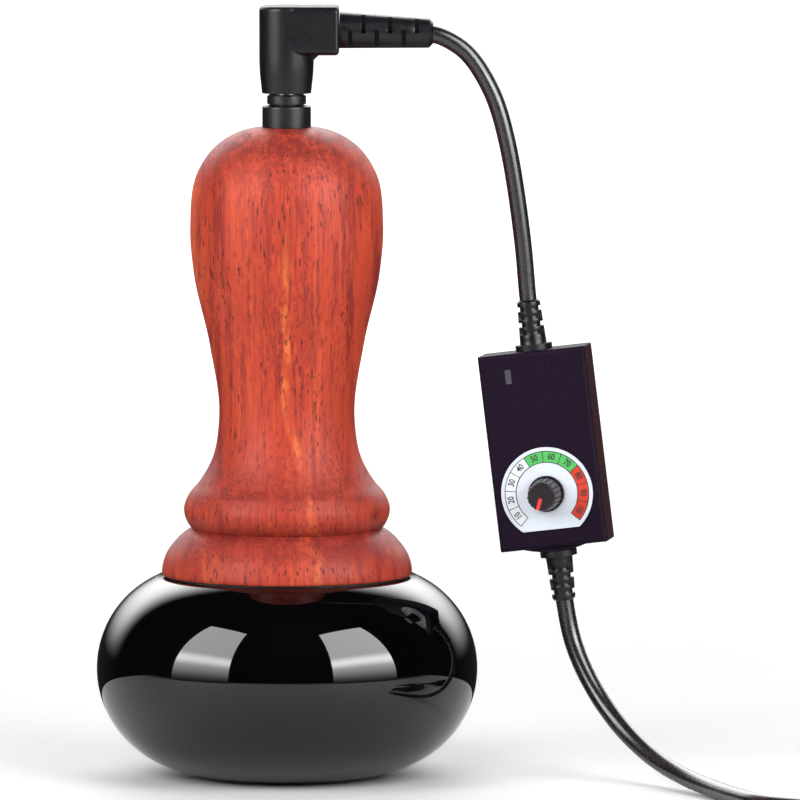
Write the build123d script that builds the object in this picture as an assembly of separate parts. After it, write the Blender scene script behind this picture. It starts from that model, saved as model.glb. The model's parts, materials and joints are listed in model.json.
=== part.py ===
from build123d import *
import math
import os

"""A hot stone massage head on a turned wooden handle, with a plug-in lead and an in-line heat dial.

Millimetres. The origin is the centre of the stone's flat foot, on the surface that it stands on.
+Z runs up the handle, -Y is the side that the dial faces, and the lead leaves towards +X.
"""

# ---- driving dimensions: stone ----
STONE_R = 45.5            # at the equator
STONE_SIDE_LOW_R = 24.6   # outline radius just under the equator
STONE_SIDE_LOW_DEG = 59.8
STONE_BELLY_R = 33.3      # outline radius from the side to the foot
STONE_SIDE_TOP_R = 24.0   # outline radius just over the equator
STONE_SIDE_TOP_DEG = 57.8
STONE_SHOULDER_R = 29.5   # outline radius from the side to the seat
SEAT_Z = 47.8             # flat seat under the handle
POCKET_R = 17.5           # heating pocket sunk in the seat
POCKET_FLOOR_Z = 20.0
FLANGE_R = 19.0           # steel plate bonded in the mouth of the pocket
FLANGE_THICK = 3.0
GASKET_THICK = 0.5
GASKET_R = 28.8
PLATE_SCREW_CIRCLE = 12.0
PLATE_SCREW_COUNT = 3

# ---- driving dimensions: handle and socket ----
HANDLE_FOOT_R = 29.9
GRIP_R = 23.0
NECK_R = 16.23
NECK_Z = 85.0
HANDLE_TOP_Z = 155.2
HANDLE_TOP_R = 6.0
WIRE_BORE_R = 2.5
SOCKET_BORE_R = 5.0
SOCKET_BORE_FLOOR_Z = 137.0
COLLAR_R = 5.8
COLLAR_TOP_Z = 160.4
COLLAR_FOOT_Z = 141.0
PLUG_BARREL_R = 2.75      # 5.5 mm barrel plug
PLUG_PIN_R = 1.05         # 2.1 mm centre pin
FIT = 0.05                # radial running clearance of every sliding or turning fit

# ---- driving dimensions: plug ----
PLUG_NECK_R = 4.65
PLUG_NECK_Z = (160.5, 163.1)
PLUG_BODY_Z = (163.4, 184.2)
PLUG_BODY_R = 6.5
PLUG_ARM_X = 12.5
PLUG_ARM_Z = 172.6
PLUG_ARM_WIDTH = 12.9
PLUG_GRIP_X = (0.4, 6.1)
PLUG_GRIP_LEVELS = (177.1, 179.5)
RELIEF_X = (12.5, 34.9)
RELIEF_Z = (178.4, 177.6) # the boot's axis at its two ends
RELIEF_R = (4.35, 3.45)
RELIEF_SLOTS = 6
RELIEF_PITCH = 3.19
RELIEF_SLOT_WIDE = 1.05
RELIEF_SLOT_REACH = (178.5, 177.8)  # how far the lower slots reach up and the upper ones down
RELIEF_WEB = 2.6          # the solid web between the front and the back slots

# ---- driving dimensions: control box, in its own frame (across, up, out of the dial face) ----
CORD_D = 4.2
BOX_YAW_DEG = 10.0
BOX_ROLL_DEG = 7.0
BOX_CENTRE = (61.84, -0.5, 78.7)
BOX_W, BOX_H, BOX_D = 26.0, 47.1, 12.0
WALL = 1.5
BOX_EDGE_R = 1.1          # the face's two long edges
BOX_CORNER_R = 0.4
DIAL_UP = -10.5           # dial centre, above the middle of the face
DIAL_R = 11.05
DIAL_CHORD = 8.7          # the flat at the foot of the dial plate, below its centre
DIAL_THICK = 0.3
KNOB_R, KNOB_FACE_R, KNOB_HEIGHT = 4.3, 3.35, 8.4
KNOB_SKIRT = 1.1
KNOB_FLUTES = 18
KNOB_FLUTE_R = 0.42
KNOB_DRAFT_DEG = 4.7      # the flutes run along the tapered flank
KNOB_REST_DEG = 202.0     # pointer at off, clockwise from the top of the box
SHAFT_R = 2.0
SHAFT_TOP_C = 13.0
SHAFT_FLAT_C = 8.5        # where the shaft's flat begins
POINTER_WIDE, POINTER_LONG, POINTER_DEEP = 0.8, 2.8, 0.4
LENS_AT = (-6.0, 18.1)
LENS_SIZE = (1.4, 3.4)
SCREW_AT = (9.9, 20.4)
BOARD_C = (-2.2, -1.0)    # the circuit board's faces, out of the split plane
BOSS_CHORD, BOSS_HIGH = 15.4, 1.2
GLAND_LENGTH = 12.0
GLAND_RIBS = 4
GLAND_PITCH = 1.87

# ---- driving dimensions: lead ----
COIL_AT = (160.0, -55.0)
COIL_R = (13.9, 30.7)
COIL_HIGH = 8.4
TIE_THICK, TIE_WIDE = 0.4, 8.0
CONNECTOR_R = 5.2
CONNECTOR_LENGTH = 26.0
CONNECTOR_RELIEF_LENGTH = 15.0
INLET_BORE_R = 2.85

# The box's own frame: X across the dial face, Y up it, Z out of it.
yaw, roll = math.radians(BOX_YAW_DEG), math.radians(BOX_ROLL_DEG)
across_flat = Vector(math.cos(yaw), -math.sin(yaw), 0)
OUT = Vector(-math.sin(yaw), -math.cos(yaw), 0)
ACROSS = across_flat * math.cos(roll) + Vector(0, 0, math.sin(roll))
UP = Vector(0, 0, math.cos(roll)) - across_flat * math.sin(roll)
CASE = Plane(origin=BOX_CENTRE, x_dir=ACROSS, z_dir=OUT)
GLAND_TOP_BASE = Vector(*BOX_CENTRE) + UP * (BOX_H / 2)
GLAND_TOP_END = GLAND_TOP_BASE + UP * GLAND_LENGTH
GLAND_LOW_BASE = Vector(*BOX_CENTRE) - UP * (BOX_H / 2 + BOSS_HIGH)
GLAND_LOW_END = GLAND_LOW_BASE - UP * GLAND_LENGTH

# The lead's routes, point by point: the control points of each tube's runs.
UPPER_ROUTE = [
    (RELIEF_X[1], 0.0, RELIEF_Z[1]), (41.2, 0.0, 175.2), (46.6, 0.0, 170.6), (50.8, 0.0, 164.1),
    (53.7, 0.0, 153.4), (55.7, 0.0, 140.6), (56.8, 0.1, 127.4), tuple(GLAND_TOP_END),
]
LOWER_ROUTE = [
    tuple(GLAND_LOW_END), (67.9, -1.9, 33.0), (71.0, -4.1, 25.2), (75.4, -7.8, 17.8),
    (80.9, -13.4, 11.2), (87.4, -21.6, 6.1), (93.8, -32.0, 3.2), (99.2, -44.6, 2.15),
    (104.0, -58.6, 2.1), (110.8, -71.8, 2.1), (121.6, -80.6, 2.1), (134.8, -84.2, 2.1),
    (148.2, -84.2, 2.1),
]
TAIL_ROUTE = [
    (188.6, -57.0, 6.3), (188.3, -45.4, 6.2), (185.2, -33.2, 5.6), (180.26, -20.84, 5.2),
    (176.5, -10.5, 5.2),
]
DISTAL = Vector(TAIL_ROUTE[-1]) - Vector(TAIL_ROUTE[-2])
CONNECTOR = Plane(origin=TAIL_ROUTE[-1], x_dir=(0, 0, 1), z_dir=DISTAL.normalized())


def turned(edges):
    """A solid of revolution about Z from a closed outline of (radius, height) edges."""
    return revolve(Plane.XZ * make_face(edges), Axis.Z)


def ring(outer, inner, low, high):
    """A plain tube about Z."""
    tube = Pos(0, 0, low) * Cylinder(outer, high - low, align=(Align.CENTER, Align.CENTER, Align.MIN))
    if inner:
        tube -= Pos(0, 0, low) * Cylinder(inner, high - low, align=(Align.CENTER, Align.CENTER, Align.MIN))
    return tube


def block(across, up, low, high, at=(0, 0)):
    """A box between two heights of its plane."""
    return Pos(at[0], at[1], low) * Box(across, up, high - low, align=(Align.CENTER, Align.CENTER, Align.MIN))


def tube_along(name, points, diameter):
    """A cord's tube: straight runs joined by arcs as large as the runs allow."""
    spots = [Vector(*p) for p in points]
    radii = []
    for before, here, after in zip(spots, spots[1:], spots[2:]):
        turn = math.radians((here - before).get_angle(after - here))
        shorter = min((here - before).length, (after - here).length)
        radii.append(0.45 * shorter / math.tan(turn / 2))
    path = FilletPolyline(*spots, radius=radii)
    start = Plane(origin=spots[0], z_dir=spots[1] - spots[0])
    tube = sweep(start * Circle(diameter / 2), path=path)
    wanted = math.pi * diameter**2 / 4 * path.length
    print(name, "length", round(path.length, 1), "radii", [round(r, 1) for r in radii],
          "volume ratio", round(tube.volume / wanted, 4))
    return tube


# ---- stone head ----
def stone_head():
    low = math.radians(STONE_SIDE_LOW_DEG)
    top = math.radians(STONE_SIDE_TOP_DEG)
    equator_z = STONE_SIDE_LOW_R * math.sin(low) + STONE_BELLY_R * (1 - math.sin(low))
    low_x = STONE_R - STONE_SIDE_LOW_R
    foot_r = low_x + (STONE_SIDE_LOW_R - STONE_BELLY_R) * math.cos(low)
    top_x = STONE_R - STONE_SIDE_TOP_R
    shoulder_x = top_x + (STONE_SIDE_TOP_R - STONE_SHOULDER_R) * math.cos(top)
    shoulder_z = equator_z + (STONE_SIDE_TOP_R - STONE_SHOULDER_R) * math.sin(top)
    seat_deg = math.degrees(math.asin((SEAT_Z - shoulder_z) / STONE_SHOULDER_R))
    belly = CenterArc((foot_r, STONE_BELLY_R), STONE_BELLY_R, -90, 90 - STONE_SIDE_LOW_DEG)
    side_low = CenterArc((low_x, equator_z), STONE_SIDE_LOW_R, -STONE_SIDE_LOW_DEG, STONE_SIDE_LOW_DEG)
    side_top = CenterArc((top_x, equator_z), STONE_SIDE_TOP_R, 0, STONE_SIDE_TOP_DEG)
    shoulder = CenterArc((shoulder_x, shoulder_z), STONE_SHOULDER_R, STONE_SIDE_TOP_DEG,
                         seat_deg - STONE_SIDE_TOP_DEG)
    step_z = SEAT_Z + GASKET_THICK - FLANGE_THICK
    inside = Polyline(shoulder @ 1, (FLANGE_R, SEAT_Z), (FLANGE_R, step_z), (POCKET_R, step_z),
                      (POCKET_R, POCKET_FLOOR_Z), (0, POCKET_FLOOR_Z), (0, 0), belly @ 0)
    return turned([belly, side_low, side_top, shoulder, inside])


HEATER_Z = (POCKET_FLOOR_Z, POCKET_FLOOR_Z + 1.2)
BLOCK_Z = (HEATER_Z[1], HEATER_Z[1] + 6.0)
PAD_Z = (BLOCK_Z[1], BLOCK_Z[1] + 8.0)
SENSOR_AT = (9.0, 0.0)
CUTOFF_AT = (-9.5, 0.0)
PLATE_Z = (SEAT_Z + GASKET_THICK - FLANGE_THICK, SEAT_Z + GASKET_THICK)


def heater_disc():
    """The flat etched-foil heater on the pocket's floor."""
    return ring(POCKET_R - 0.4, 0, *HEATER_Z)


def heater_block():
    """The aluminium spreader on the heater, drilled for the sensor and milled for the cut-off."""
    body = ring(POCKET_R - 0.2, 0, *BLOCK_Z)
    body -= Pos(*SENSOR_AT, 0) * ring(1.3, 0, BLOCK_Z[1] - 4.0, BLOCK_Z[1])
    body -= block(4.2, 11.0, BLOCK_Z[1] - 4.4, BLOCK_Z[1], CUTOFF_AT)
    return body


def temperature_sensor():
    """A glass-bead thermistor standing in its drilled hole."""
    bead = Pos(*SENSOR_AT, 0) * ring(1.2, 0, BLOCK_Z[1] - 4.0, BLOCK_Z[1] - 0.4)
    return fillet(bead.edges().filter_by(GeomType.CIRCLE), 0.5)


def thermal_cutoff():
    """The one-shot thermal fuse lying in its milled slot."""
    low = BLOCK_Z[1] - 4.4
    can = Pos(*CUTOFF_AT, low + 2.0) * Rot(90, 0, 0) * Cylinder(2.0, 10.0)
    return chamfer(can.edges().filter_by(GeomType.CIRCLE), 0.3)


def insulation_pad():
    return ring(POCKET_R - 0.2, WIRE_BORE_R + 0.2, *PAD_Z)


def screw_places():
    return PolarLocations(PLATE_SCREW_CIRCLE, PLATE_SCREW_COUNT, start_angle=90)


def handle_flange():
    """The steel plate that is screwed to the handle and bonded in the pocket's mouth."""
    plate = ring(FLANGE_R, 4.0, *PLATE_Z)
    for place in screw_places():
        plate -= place * ring(1.6, 0, *PLATE_Z)
    return plate


def flange_screws():
    """Three pan-head screws up through the plate into the wood."""
    screws = []
    for place in screw_places():
        head = ring(2.8, 0, PLATE_Z[0] - 2.0, PLATE_Z[0])
        head = fillet(head.edges().filter_by(GeomType.CIRCLE).group_by(Axis.Z)[0], 0.8)
        head -= block(3.6, 0.7, PLATE_Z[0] - 2.0, PLATE_Z[0] - 1.1)
        head -= block(0.7, 3.6, PLATE_Z[0] - 2.0, PLATE_Z[0] - 1.1)
        shank = ring(1.5, 0, PLATE_Z[0], PLATE_Z[1] + 9.0)
        tip = Pos(0, 0, PLATE_Z[1] + 9.0) * Cone(1.5, 0.4, 2.0, align=(Align.CENTER, Align.CENTER, Align.MIN))
        screws.append(place * (head + shank + tip).solid())
    return Compound(screws)


def base_gasket():
    return ring(GASKET_R, FLANGE_R + 1.0, SEAT_Z, SEAT_Z + GASKET_THICK)


# ---- handle ----
def handle():
    """One turned piece of wood: moulded foot, bead, waist and a pear-shaped grip."""
    foot_z = SEAT_Z + GASKET_THICK
    foot = Spline((HANDLE_FOOT_R, foot_z + 0.4), (28.9, 53.1), (27.0, 55.9), (22.7, 59.4),
                  tangents=[(0, 1), (-1, 0.35)], tangent_scalars=[1, 1])
    grip = Spline((22.7, 59.4), (24.6, 64.0), (23.4, 67.5), (21.0, 70.4), (17.8, 76.1),
                  (NECK_R, NECK_Z), (18.4, 103.4), (22.2, 120.6), (GRIP_R, 132.0), (21.0, 145.0),
                  (16.9, 150.7), (HANDLE_TOP_R, HANDLE_TOP_Z), tangents=[(0.9, 1), (-1, 0)],
                  tangent_scalars=[1, 1])
    edge = ThreePointArc((HANDLE_FOOT_R - 0.4, foot_z), (HANDLE_FOOT_R - 0.12, foot_z + 0.12),
                         (HANDLE_FOOT_R, foot_z + 0.4))
    rest = Polyline((HANDLE_TOP_R, HANDLE_TOP_Z), (SOCKET_BORE_R, HANDLE_TOP_Z),
                    (SOCKET_BORE_R, SOCKET_BORE_FLOOR_Z), (WIRE_BORE_R, SOCKET_BORE_FLOOR_Z),
                    (WIRE_BORE_R, foot_z), (HANDLE_FOOT_R - 0.4, foot_z))
    body = turned([edge, foot, grip, rest])
    for place in screw_places():
        body -= place * ring(1.5, 0, foot_z, PLATE_Z[1] + 12.0)
    return body


# ---- socket ----
INSULATOR_TOP_Z = 147.0
CONTACT_CHAMBER_R = 4.2


def socket_collar():
    """The socket's sleeve: pressed in the counterbore, with a shoulder standing on the wood."""
    body = ring(COLLAR_R, 0, HANDLE_TOP_Z, COLLAR_TOP_Z)
    body = fillet(body.edges().filter_by(GeomType.CIRCLE).group_by(Axis.Z)[-1], 0.5)
    body += ring(SOCKET_BORE_R - 0.03, 0, COLLAR_FOOT_Z, HANDLE_TOP_Z)
    body -= ring(PLUG_BARREL_R + FIT, 0, INSULATOR_TOP_Z, COLLAR_TOP_Z)
    body -= ring(CONTACT_CHAMBER_R, 0, COLLAR_FOOT_Z, INSULATOR_TOP_Z)
    body -= block(2.0, 2.0, INSULATOR_TOP_Z, 156.0, (2.9, 0))
    return body


def socket_insulator():
    body = ring(CONTACT_CHAMBER_R, PLUG_PIN_R, COLLAR_FOOT_Z, INSULATOR_TOP_Z)
    return body - block(0.4, 1.6, COLLAR_FOOT_Z, INSULATOR_TOP_Z, (3.3, 0))


def socket_centre_pin():
    pin = ring(PLUG_PIN_R, 0, COLLAR_FOOT_Z, 157.0)
    pin = fillet(pin.edges().filter_by(GeomType.CIRCLE).group_by(Axis.Z)[-1], 0.5)
    return pin + ring(0.5, 0, COLLAR_FOOT_Z - 2.5, COLLAR_FOOT_Z)


def socket_spring_contact():
    """The leaf that presses the plug's sleeve, with a solder tail under the insulator."""
    leaf = block(0.4, 1.6, COLLAR_FOOT_Z - 2.2, 155.5, (3.3, 0))
    return leaf + block(2.7, 1.6, COLLAR_FOOT_Z - 2.5, COLLAR_FOOT_Z - 2.2, (2.15, 0))


WIRE_R = 0.65
WIRE_OFFSET = 0.95


def heater_wire(side):
    return Pos(side * WIRE_OFFSET, 0, 0) * ring(WIRE_R, 0, BLOCK_Z[1], COLLAR_FOOT_Z - 2.5)


def wire_sleeve():
    return ring(2.2, 1.75, BLOCK_Z[1], 120.0)


# ---- plug: sliding contacts ----
def plug_neck():
    """The stepped ring between the socket's collar and the moulded body."""
    low, high = PLUG_NECK_Z
    body = ring(PLUG_NECK_R - 0.45, 0, low, high) + ring(PLUG_NECK_R, 0, low + 0.3, high - 0.3)
    return body - ring(PLUG_BARREL_R, 0, low, high)


BARREL_Z = (151.0, 165.6)


def plug_barrel():
    low, high = BARREL_Z
    return ring(PLUG_BARREL_R, 2.3, low, high) + ring(4.0, 2.3, high - 1.0, high)


def plug_insulator():
    return ring(2.3, 1.35, BARREL_Z[0] + 0.2, BARREL_Z[1])


def plug_centre_contact():
    body = ring(1.35, 0, BARREL_Z[0] + 0.4, BARREL_Z[1])
    body -= ring(PLUG_PIN_R + FIT, 0, BARREL_Z[0] + 0.4, 158.5)
    return body + ring(0.6, 0, BARREL_Z[1], BARREL_Z[1] + 0.7)


# ---- plug: moulded body and strain relief ----
def plug_body():
    """The right-angle moulding: a tapered barrel over the neck and a square arm for the cord."""
    low, high = PLUG_BODY_Z
    outline = [
        Polyline((0, low), (5.85, low)),
        Spline((5.85, low), (6.35, 168.0), (PLUG_BODY_R, PLUG_ARM_Z), tangents=[(0.1, 1), (0, 1)],
               tangent_scalars=[1, 1]),
        Polyline((PLUG_BODY_R, PLUG_ARM_Z), (PLUG_BODY_R, high), (0, high), (0, low)),
    ]
    body = turned(outline)
    body = fillet(body.edges().filter_by(GeomType.CIRCLE).group_by(Axis.Z)[-1], 1.1)
    arm = Pos(0, 0, PLUG_ARM_Z) * Box(PLUG_ARM_X, PLUG_ARM_WIDTH, high - PLUG_ARM_Z,
                                      align=(Align.MIN, Align.CENTER, Align.MIN))
    arm = fillet(arm.edges().filter_by(Axis.X), 1.6)
    arm = fillet(arm.faces().sort_by(Axis.X)[-1].edges(), 0.9)
    body += arm
    body -= ring(PLUG_BARREL_R + FIT, 0, low, 164.4)
    body -= ring(4.2, 0, 164.4, 167.0)
    gusset = make_face(Plane.XZ * Polyline(
        (5.0, PLUG_ARM_Z + 0.5), (7.8, PLUG_ARM_Z + 0.5), (7.8, PLUG_ARM_Z), (6.2, PLUG_ARM_Z - 1.5),
        (5.0, PLUG_ARM_Z - 1.5), (5.0, PLUG_ARM_Z + 0.5)))
    body += extrude(gusset, amount=2.6, both=True)
    grip = sum(PLUG_GRIP_X) / 2
    for side in (-1, 1):
        for level in PLUG_GRIP_LEVELS:
            body -= Pos(grip, side * PLUG_ARM_WIDTH / 2, level) * Box(PLUG_GRIP_X[1] - PLUG_GRIP_X[0], 0.5, 1.0)
    return body


def plug_strain_relief():
    """The tapered boot behind the plug, cut by staggered slots so that it bends evenly."""
    start, end = RELIEF_X
    span = end - start
    tilt = math.degrees(math.atan2(RELIEF_Z[0] - RELIEF_Z[1], span))
    boot = Pos(start, 0, RELIEF_Z[0]) * Rot(0, 90 + tilt, 0) * Cone(
        RELIEF_R[0], RELIEF_R[1], span, align=(Align.CENTER, Align.CENTER, Align.MIN))
    boot = chamfer(boot.edges().filter_by(GeomType.CIRCLE).sort_by(Axis.X)[-1], 0.9)
    boot &= Pos(start, 0, RELIEF_Z[0]) * Box(2 * span, 40, 40, align=(Align.MIN, Align.CENTER, Align.CENTER))
    for index in range(RELIEF_SLOTS):
        upper = index % 2
        reach = Align.MIN if upper else Align.MAX
        x = start + 2.6 + RELIEF_PITCH * index
        for side in (-1, 1):
            boot -= Pos(x, side * RELIEF_WEB / 2, RELIEF_SLOT_REACH[upper]) * Box(
                RELIEF_SLOT_WIDE, 10.0, 10.0, align=(Align.CENTER, Align.MIN if side > 0 else Align.MAX, reach))
    return boot


def upper_cord():
    return tube_along("upper_cord", UPPER_ROUTE, CORD_D)


# ---- control box ----
def gland(base, axis):
    """A moulded bend relief: flange, barrel and staggered ribs."""
    flange, root, neck = 1.4, 3.2, 2.75
    edges = Polyline((0, 0), (4.4, 0), (4.4, flange), (root, flange), (neck, GLAND_LENGTH - 0.5),
                     (neck - 0.5, GLAND_LENGTH), (0, GLAND_LENGTH), (0, 0))
    body = turned([edges])
    start, slot = flange + 2.35, 1.1
    for index in range(GLAND_RIBS):
        low = start + GLAND_PITCH * index
        keep = 0 if index % 2 == 0 else 90
        bite = ring(5.0, 2.25, low, low + slot) - Rot(0, 0, keep) * block(12.0, 1.7, low, low + slot)
        body -= bite
    return Plane(origin=base, x_dir=ACROSS, z_dir=axis) * body


def upper_gland():
    return gland(GLAND_TOP_BASE, UP)


def lower_gland():
    return gland(GLAND_LOW_BASE, -UP)


def half_case(low, high, open_low):
    """One half of the case: an outer block, hollow towards the split."""
    outer = block(BOX_W, BOX_H, low, high)
    far = Axis.Z if open_low else -Axis.Z
    outer = fillet(outer.edges().filter_by(Axis.Z), BOX_CORNER_R)
    face = outer.faces().sort_by(far)[-1]
    outer = fillet(face.edges().filter_by(Axis.Y), BOX_EDGE_R)
    inner_low = low if open_low else low + WALL
    inner_high = high - WALL if open_low else high
    return outer - block(BOX_W - 2 * WALL, BOX_H - 2 * WALL, inner_low, inner_high)


def corner_places():
    return [Pos(x, y, 0) for x in (-SCREW_AT[0], SCREW_AT[0]) for y in (-SCREW_AT[1], SCREW_AT[1])]


def front_shell():
    half = BOX_D / 2
    body = half_case(0, half, True)
    for place in corner_places():
        body += place * ring(2.3, 0, 0, half - WALL)
        body -= place * ring(1.0, 0, 0, half - WALL - 0.6)
    body -= Pos(0, DIAL_UP, 0) * ring(SHAFT_R + 0.25, 0, 0, half)
    body -= block(*LENS_SIZE, 0, half, LENS_AT)
    return CASE * body


def rear_shell():
    half = BOX_D / 2
    body = half_case(-half, 0, False)
    for place in corner_places():
        body += place * ring(2.3, 0, -half + WALL, 0)
        body -= place * ring(1.2, 0, -half, 0)
        body -= place * ring(2.0, 0, -half, -half + 1.6)
    for place in (Pos(-8.5, 0, 0), Pos(8.5, 0, 0), Pos(0, 15.5, 0), Pos(0, -15.5, 0)):
        body += place * ring(1.6, 0, -half + WALL, BOARD_C[0])
    sagitta = BOSS_HIGH
    radius = (BOSS_CHORD**2 / 4 + sagitta**2) / (2 * sagitta)
    boss = Pos(0, -BOX_H / 2 - sagitta + radius, 0) * ring(radius, 0, -4.4, 4.4)
    boss &= block(BOSS_CHORD, sagitta, -4.4, 4.4, (0, -BOX_H / 2 - sagitta / 2))
    return CASE * body, CASE * boss


def dial_plate():
    """The printed scale: a thin disc with a flat cut across its foot."""
    low = BOX_D / 2
    disc = ring(DIAL_R, SHAFT_R + 0.6, low, low + DIAL_THICK)
    disc -= block(40, 20, low, low + DIAL_THICK, (0, -DIAL_CHORD - 10))
    return CASE * Pos(0, DIAL_UP, 0) * disc


def indicator_lens():
    half = BOX_D / 2
    body = block(*LENS_SIZE, half - WALL, half, LENS_AT)
    return CASE * (body + block(LENS_SIZE[0] + 1.2, LENS_SIZE[1] + 1.2, half - WALL - 0.6, half - WALL, LENS_AT))


def indicator_led():
    low = BOARD_C[1]
    chip = block(1.6, 3.0, low, low + 1.4, LENS_AT)
    return CASE * (chip + block(1.0, 1.8, low + 1.4, low + 1.8, LENS_AT))


BOARD_SIZE = (22.4, 35.0)


def circuit_board():
    board = block(*BOARD_SIZE, *BOARD_C)
    return CASE * fillet(board.edges().filter_by(Axis.Z), 1.0)


POT_C = (BOARD_C[1], 4.0)
POT_CAVITY_C = (0.4, 2.4)


def potentiometer_body():
    body = block(10.4, 10.4, *POT_C, (0, DIAL_UP))
    body = fillet(body.edges().filter_by(Axis.Z), 0.6)
    body += Pos(0, DIAL_UP, 0) * ring(3.0, 0, POT_C[1], BOX_D / 2 - WALL)
    body -= Pos(0, DIAL_UP, 0) * ring(SHAFT_R + FIT, 0, 0.2, BOX_D / 2 - WALL)
    body -= Pos(0, DIAL_UP, 0) * ring(4.2, 0, *POT_CAVITY_C)
    return CASE * body


def potentiometer_track():
    """The carbon ring that the wiper runs on, open at its foot."""
    low = POT_CAVITY_C[0]
    track = ring(4.0, 2.7, low, low + 0.2) - block(2.2, 8.0, low, low + 0.2, (0, -4.0))
    return CASE * Pos(0, DIAL_UP, 0) * track


def potentiometer_shaft():
    body = ring(SHAFT_R, 0, 0.3, SHAFT_TOP_C)
    body -= block(4.2, 1.0, SHAFT_FLAT_C, SHAFT_TOP_C, (0, SHAFT_R))
    return CASE * Pos(0, DIAL_UP, 0) * Rot(0, 0, -KNOB_REST_DEG) * body


def potentiometer_wiper():
    body = ring(3.9, SHAFT_R, 1.0, 1.8)
    body += block(0.8, 0.8, 0.65, 1.0, (0, 3.3))
    return CASE * Pos(0, DIAL_UP, 0) * Rot(0, 0, -KNOB_REST_DEG) * body


KNOB_C = 6.7


def knob():
    """The fluted knob, bored for the shaft's flat, with a groove for its pointer."""
    top = KNOB_C + KNOB_HEIGHT
    skirt = ring(KNOB_R, 0, KNOB_C, KNOB_C + KNOB_SKIRT)
    grip = Pos(0, 0, KNOB_C + KNOB_SKIRT) * Cone(KNOB_R - 0.35, KNOB_FACE_R, KNOB_HEIGHT - KNOB_SKIRT,
                                          align=(Align.CENTER, Align.CENTER, Align.MIN))
    grip = fillet(grip.edges().filter_by(GeomType.CIRCLE).sort_by(Axis.Z)[-1], 0.35)
    for index in range(KNOB_FLUTES):
        turn = Rot(0, 0, 360 * (index + 0.5) / KNOB_FLUTES)
        grip -= turn * Pos(KNOB_R - 0.12, 0, KNOB_C + KNOB_SKIRT) * Rot(0, -KNOB_DRAFT_DEG, 0) * Cylinder(
            KNOB_FLUTE_R, KNOB_HEIGHT, align=(Align.CENTER, Align.CENTER, Align.MIN))
    body = skirt + grip
    bore = ring(SHAFT_R, 0, KNOB_C, SHAFT_TOP_C) - block(4.2, 1.0, SHAFT_FLAT_C, SHAFT_TOP_C, (0, SHAFT_R))
    body -= bore
    body -= block(POINTER_WIDE, POINTER_LONG + 0.1, top - POINTER_DEEP, top, (0, KNOB_FACE_R - 1.45))
    return CASE * Pos(0, DIAL_UP, 0) * Rot(0, 0, -KNOB_REST_DEG) * body


def knob_pointer():
    top = KNOB_C + KNOB_HEIGHT
    body = block(POINTER_WIDE, POINTER_LONG, top - POINTER_DEEP, top + 0.05, (0, KNOB_FACE_R - 1.5))
    return CASE * Pos(0, DIAL_UP, 0) * Rot(0, 0, -KNOB_REST_DEG) * body


def power_transistor():
    low = BOARD_C[1]
    return CASE * (block(6.6, 6.2, low, low + 2.3, (4.5, 6.0)) + block(5.4, 1.6, low, low + 0.6, (4.5, 9.9)))


def heat_sink():
    low = BOARD_C[1] + 2.3
    body = block(10.0, 9.0, low, low + 1.0, (4.5, 6.0))
    for index in range(5):
        body += block(0.9, 9.0, low + 1.0, low + 2.8, (0.05 + 2.225 * index, 6.0))
    return CASE * body


def smoothing_capacitor():
    low = BOARD_C[1]
    can = Pos(-6.0, 5.0, 0) * ring(2.5, 0, low, low + 5.0)
    return CASE * fillet(can.edges().filter_by(GeomType.CIRCLE).group_by(Axis.Z)[-1], 0.4)


def shell_screws():
    """Four self-tapping screws from the back of the box."""
    half = BOX_D / 2
    screws = []
    for place in corner_places():
        head = ring(1.9, 0, -half + 0.5, -half + 1.6)
        head -= block(2.4, 0.5, -half + 0.5, -half + 1.0)
        head -= block(0.5, 2.4, -half + 0.5, -half + 1.0)
        screws.append(CASE * (place * (head + ring(1.0, 0, -half + 1.6, 3.6))).solid())
    return Compound(screws)


# ---- lead: free end ----
def lower_cord():
    return tube_along("lower_cord", LOWER_ROUTE, CORD_D)


def tail_cord():
    return tube_along("tail_cord", TAIL_ROUTE, CORD_D)


def tie_shape():
    """A strap round the winding, on the side of the coil nearest the stone."""
    inner, outer = COIL_R
    middle = -(inner + outer) / 2
    wide, high = outer - inner, COIL_HIGH
    strap = block(wide + 2 * TIE_THICK, TIE_WIDE, 0, high + TIE_THICK, (middle, 0))
    strap = fillet(strap.edges().filter_by(Axis.Y), 1.2)
    core = block(wide, TIE_WIDE, TIE_THICK, high, (middle, 0))
    core = fillet(core.edges().filter_by(Axis.Y), 0.9)
    return Pos(*COIL_AT, 0) * (strap - core), Pos(*COIL_AT, 0) * core


def coil_tie():
    return tie_shape()[0]


def cord_coil():
    """The wound spare length, as one closed ring, waisted where the strap holds it."""
    inner, outer = COIL_R
    body = ring(outer, inner, 0, COIL_HIGH)
    body = fillet(body.edges().filter_by(GeomType.CIRCLE), 1.4)
    body = Pos(*COIL_AT, 0) * body
    middle = -(inner + outer) / 2
    band = Pos(*COIL_AT, 0) * block(outer - inner + 4.0, TIE_WIDE, 0, COIL_HIGH, (middle, 0))
    return body - (band - tie_shape()[1])


def connector_relief():
    start, end = 2.5, 3.6
    boot = Cone(start, end, CONNECTOR_RELIEF_LENGTH, align=(Align.CENTER, Align.CENTER, Align.MIN))
    for index in range(5):
        low = 2.4 + 2.4 * index
        keep = 0 if index % 2 == 0 else 90
        boot -= ring(6.0, 2.2, low, low + 1.0) - Rot(0, 0, keep) * block(14.0, 1.7, low, low + 1.0)
    return CONNECTOR * boot


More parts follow.
